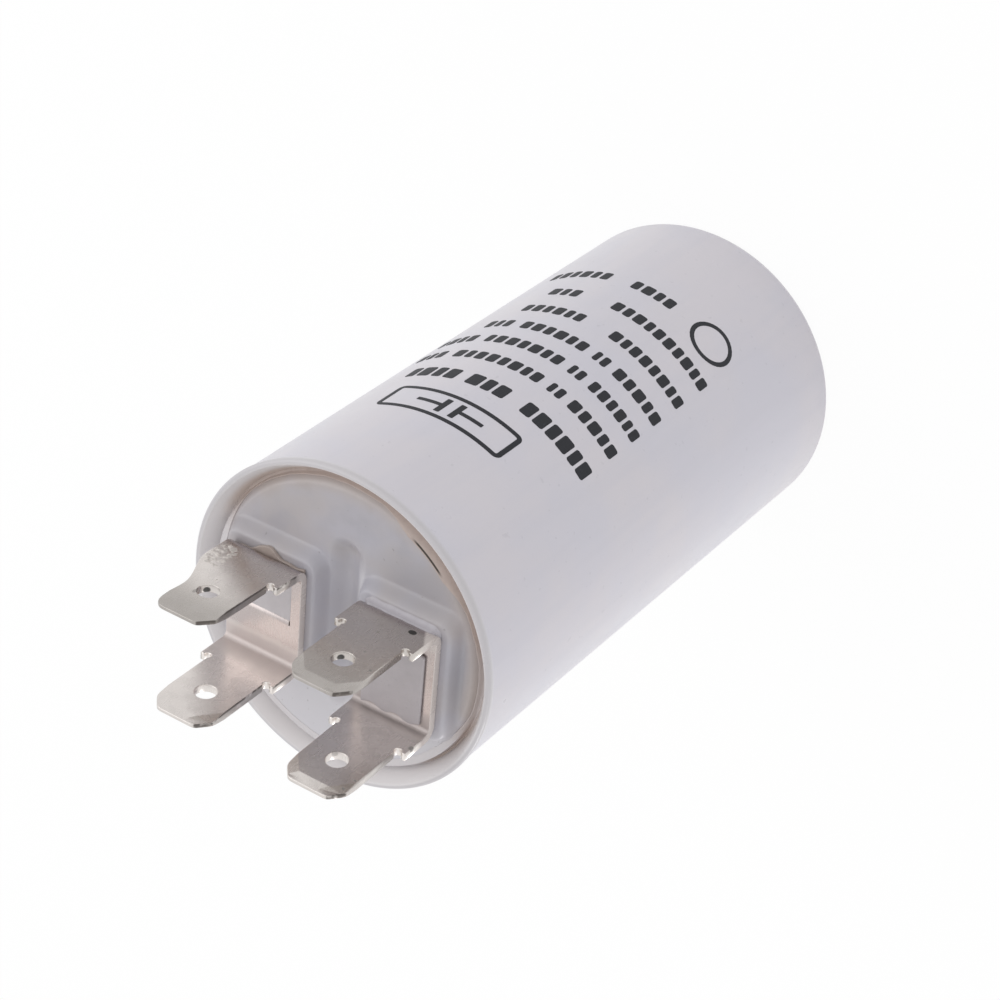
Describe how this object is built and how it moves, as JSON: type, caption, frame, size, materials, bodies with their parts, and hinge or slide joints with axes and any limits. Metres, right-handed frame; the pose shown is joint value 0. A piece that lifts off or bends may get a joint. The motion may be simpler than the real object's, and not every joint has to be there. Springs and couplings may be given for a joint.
{
  "type": "motor run capacitor",
  "caption": "Plain round plastic-cased film capacitor for a single-phase motor, with folded double-tab push-on terminals standing on its lid.",
  "frame": {"origin": "centre of the closed end, on the surface that the can stands on", "axes": "+Z along the can's axis out of the terminal end, +X from the left terminal to the right one, +Y normal to the tabs"},
  "size_m": [0.032, 0.032, 0.075],
  "materials": {
    "can_plastic": "satin moulded",
    "lid_plastic": "satin moulded",
    "sealant": "poured bead",
    "tinned_sheet": "dull tinned sheet",
    "resin": "set resin",
    "potting": "poured resin",
    "film": "metallised film",
    "core_plastic": "moulded",
    "wrap_film": "clear film",
    "sprayed_metal": "flame sprayed",
    "copper": "drawn wire",
    "sleeve_plastic": "extruded",
    "solder": "bright joint",
    "ink": "pad printed"
  },
  "bodies": {
    "root": {"can": "can_plastic", "lid": "lid_plastic", "seal_bead": "sealant", "terminal_left": "tinned_sheet", "terminal_right": "tinned_sheet", "resin_smear_left": "resin", "resin_fill_left": "resin", "resin_smear_right": "resin", "potting_resin": "potting", "film_winding": "film", "winding_core": "core_plastic", "outer_wrap": "wrap_film", "end_spray_upper": "sprayed_metal", "end_spray_lower": "sprayed_metal", "lead_left": "copper", "lead_right": "copper", "sleeve_left": "sleeve_plastic", "sleeve_right": "sleeve_plastic", "solder_joints": "solder"}
  },
  "joints": []
}
